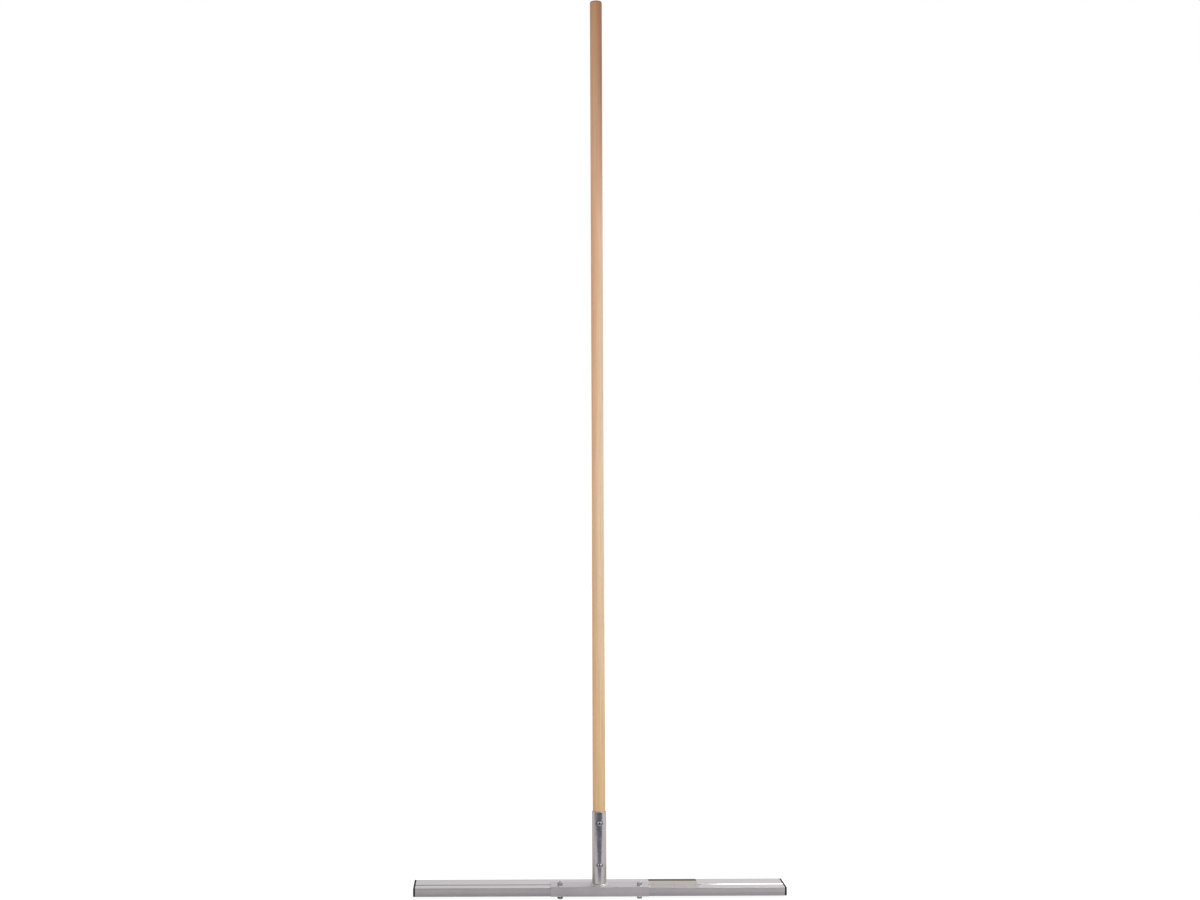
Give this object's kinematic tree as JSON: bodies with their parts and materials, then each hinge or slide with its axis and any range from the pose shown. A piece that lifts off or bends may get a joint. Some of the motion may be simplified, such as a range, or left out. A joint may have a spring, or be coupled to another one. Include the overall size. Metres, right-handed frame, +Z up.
{
  "type": "paving screed scraper",
  "caption": "Long-handled scraper that pulls sand level before paving: hollow aluminium straightedge with plastic end caps, bolted angle bracket, welded tube socket and wooden pole.",
  "frame": {"origin": "on the ground under the middle of the head: halfway along the bar, halfway from the bracket's front face to the bar's rear face, at the height of the undersides of the bolt heads", "axes": "+X along the bar to the right as seen from the front, +Y to the rear, +Z up the handle"},
  "size_m": [0.8, 0.0864, 1.9261],
  "materials": {
    "extruded_aluminium": "mill-finish extrusion",
    "bracket_aluminium": "mill-finish angle",
    "socket_tube": "bright drawn tube",
    "weld_metal": "as welded, rippled",
    "handle_wood": "turned and sanded hardwood",
    "black_plastic": "moulded",
    "zinc_steel": "zinc plated"
  },
  "bodies": {
    "root": {"screed_bar": "extruded_aluminium", "end_cap_left": "black_plastic", "end_cap_right": "black_plastic", "socket_bracket": "bracket_aluminium", "handle_socket": "socket_tube", "socket_weld": "weld_metal", "handle": "handle_wood", "socket_screw_upper": "zinc_steel", "socket_screw_lower": "zinc_steel", "clamp_bolt_left": "zinc_steel", "bottom_washer_left": "zinc_steel", "top_washer_left": "zinc_steel", "lock_nut_left": "zinc_steel", "lock_ring_left": "zinc_steel", "clamp_bolt_right": "zinc_steel", "bottom_washer_right": "zinc_steel", "top_washer_right": "zinc_steel", "lock_nut_right": "zinc_steel", "lock_ring_right": "zinc_steel"}
  },
  "joints": []
}
